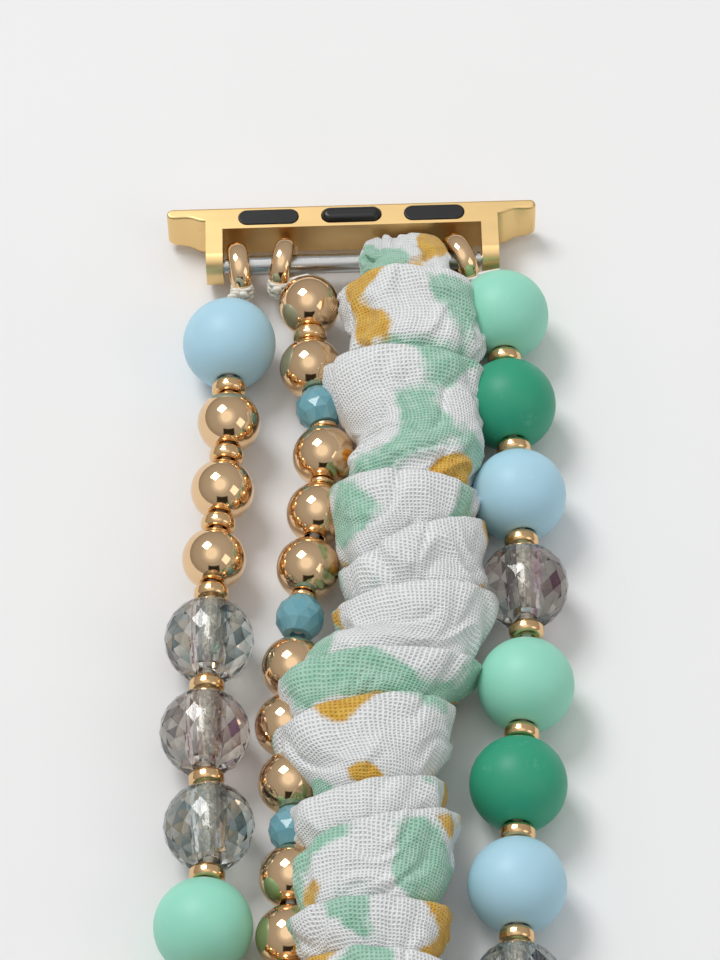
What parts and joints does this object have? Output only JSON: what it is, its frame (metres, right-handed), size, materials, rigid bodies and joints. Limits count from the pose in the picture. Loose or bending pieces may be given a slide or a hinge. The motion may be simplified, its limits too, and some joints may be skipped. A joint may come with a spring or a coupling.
{
  "type": "bead watch band",
  "caption": "Elastic bead watch band: matte, gold and crystal bead strands and a gathered fabric sleeve between two slide-in lug adapters on sprung bars.",
  "frame": {"origin": "middle of the upper lug adapter's back face, level with the bar's axis", "axes": "+X across the band, +Y out of the upper lug adapter along the band's length, +Z out of the band's face"},
  "size_m": [0.0264, 0.149, 0.0076],
  "materials": {
    "soft_blue": "soft-touch matte light blue",
    "soft_mint": "soft-touch matte mint",
    "soft_green": "soft-touch matte dark green",
    "rose_gold": "mirror-polished rose gold plate",
    "coated_crystal": "faceted glass with an iridescent coating",
    "blue_crystal": "faceted blue-teal glass",
    "elastic_cord": "white wound elastic",
    "gauze": "white gauze with soft green and yellow blotches",
    "satin_gold": "satin gold plate",
    "dark_pad": "dark satin elastomer",
    "steel": "turned stainless steel",
    "spring_steel": "drawn spring wire"
  },
  "bodies": {
    "span_a": {"blue_beads_a": "soft_blue", "mint_beads_a": "soft_mint", "green_beads_a": "soft_green", "gold_beads_a": "rose_gold", "crystals_a": "coated_crystal", "rondelles_a": "blue_crystal", "spacers_a": "rose_gold", "cords_a": "elastic_cord", "sleeve_a": "gauze"},
    "span_b": {"blue_beads_b": "soft_blue", "mint_beads_b": "soft_mint", "green_beads_b": "soft_green", "gold_beads_b": "rose_gold", "crystals_b": "coated_crystal", "rondelles_b": "blue_crystal", "spacers_b": "rose_gold", "cords_b": "elastic_cord", "sleeve_b": "gauze"},
    "span_c": {"blue_beads_c": "soft_blue", "mint_beads_c": "soft_mint", "green_beads_c": "soft_green", "gold_beads_c": "rose_gold", "crystals_c": "coated_crystal", "rondelles_c": "blue_crystal", "spacers_c": "rose_gold", "cords_c": "elastic_cord", "sleeve_c": "gauze"},
    "span_d": {"blue_beads_d": "soft_blue", "mint_beads_d": "soft_mint", "green_beads_d": "soft_green", "gold_beads_d": "rose_gold", "crystals_d": "coated_crystal", "rondelles_d": "blue_crystal", "spacers_d": "rose_gold", "cords_d": "elastic_cord", "sleeve_d": "gauze"},
    "hangers_upper": {"strand_rings_upper": "rose_gold", "cord_ties_upper": "elastic_cord", "sleeve_loop_upper": "gauze"},
    "lug_upper": {"lug_frame_upper": "satin_gold", "lug_pads_upper": "dark_pad", "latch_springs_upper": "spring_steel"},
    "latch_upper": {"latch_button_upper": "dark_pad"},
    "bar_upper": {"bar_tube_upper": "steel", "bar_spring_upper": "spring_steel"},
    "pin_left_upper": {"bar_pin_left_upper": "steel"},
    "pin_right_upper": {"bar_pin_right_upper": "steel"},
    "hangers_lower": {"strand_rings_lower": "rose_gold", "cord_ties_lower": "elastic_cord", "sleeve_loop_lower": "gauze"},
    "lug_lower": {"lug_frame_lower": "satin_gold", "lug_pads_lower": "dark_pad", "latch_springs_lower": "spring_steel"},
    "latch_lower": {"latch_button_lower": "dark_pad"},
    "bar_lower": {"bar_tube_lower": "steel", "bar_spring_lower": "spring_steel"},
    "pin_left_lower": {"bar_pin_left_lower": "steel"},
    "pin_right_lower": {"bar_pin_right_lower": "steel"}
  },
  "joints": [
    {"name": "bend_upper", "type": "hinge", "parent": "span_b", "child": "span_a", "pos_m": [0, -0.0327, 0.00095], "axis": [-1, 0, 0], "range_deg": [-15, 30]},
    {"name": "bend_middle", "type": "hinge", "parent": "span_b", "child": "span_c", "pos_m": [0, -0.0741, 0.00095], "axis": [1, 0, 0], "range_deg": [-15, 30]},
    {"name": "bend_lower", "type": "hinge", "parent": "span_c", "child": "span_d", "pos_m": [0, -0.1151, 0.00095], "axis": [1, 0, 0], "range_deg": [-15, 30]},
    {"name": "stretch_upper", "type": "slide", "parent": "span_a", "child": "hangers_upper", "axis": [0, 1, 0], "range_m": [0, 0.004], "stiffness_N_per_m": 300},
    {"name": "stretch_lower", "type": "slide", "parent": "span_d", "child": "hangers_lower", "axis": [0, -1, 0], "range_m": [0, 0.004], "stiffness_N_per_m": 300},
    {"name": "swing_upper", "type": "hinge", "parent": "hangers_upper", "child": "lug_upper", "pos_m": [0, -0.00375, 0], "axis": [1, 0, 0], "range_deg": [-60, 60]},
    {"name": "bar_spin_upper", "type": "hinge", "parent": "lug_upper", "child": "bar_upper", "pos_m": [0, -0.00375, 0], "axis": [1, 0, 0], "continuous": true},
    {"name": "pin_left_press_upper", "type": "slide", "parent": "bar_upper", "child": "pin_left_upper", "axis": [1, 0, 0], "range_m": [0, 0.0008], "stiffness_N_per_m": 400},
    {"name": "pin_right_press_upper", "type": "slide", "parent": "bar_upper", "child": "pin_right_upper", "axis": [-1, 0, 0], "range_m": [0, 0.0008], "stiffness_N_per_m": 400},
    {"name": "latch_press_upper", "type": "slide", "parent": "lug_upper", "child": "latch_upper", "axis": [0, 0, -1], "range_m": [0, 0.0005], "stiffness_N_per_m": 400, "deforming": ["latch_springs_upper"]},
    {"name": "swing_lower", "type": "hinge", "parent": "hangers_lower", "child": "lug_lower", "pos_m": [0, -0.1453, 0], "axis": [1, 0, 0], "range_deg": [-60, 60]},
    {"name": "bar_spin_lower", "type": "hinge", "parent": "lug_lower", "child": "bar_lower", "pos_m": [0, -0.1453, 0], "axis": [1, 0, 0], "continuous": true},
    {"name": "pin_left_press_lower", "type": "slide", "parent": "bar_lower", "child": "pin_left_lower", "axis": [1, 0, 0], "range_m": [0, 0.0008], "stiffness_N_per_m": 400},
    {"name": "pin_right_press_lower", "type": "slide", "parent": "bar_lower", "child": "pin_right_lower", "axis": [-1, 0, 0], "range_m": [0, 0.0008], "stiffness_N_per_m": 400},
    {"name": "latch_press_lower", "type": "slide", "parent": "lug_lower", "child": "latch_lower", "axis": [0, 0, -1], "range_m": [0, 0.0005], "stiffness_N_per_m": 400, "deforming": ["latch_springs_lower"]}
  ],
  "couplings": [
    {"joint": "stretch_lower", "follows": "stretch_upper", "ratio": 1}
  ]
}
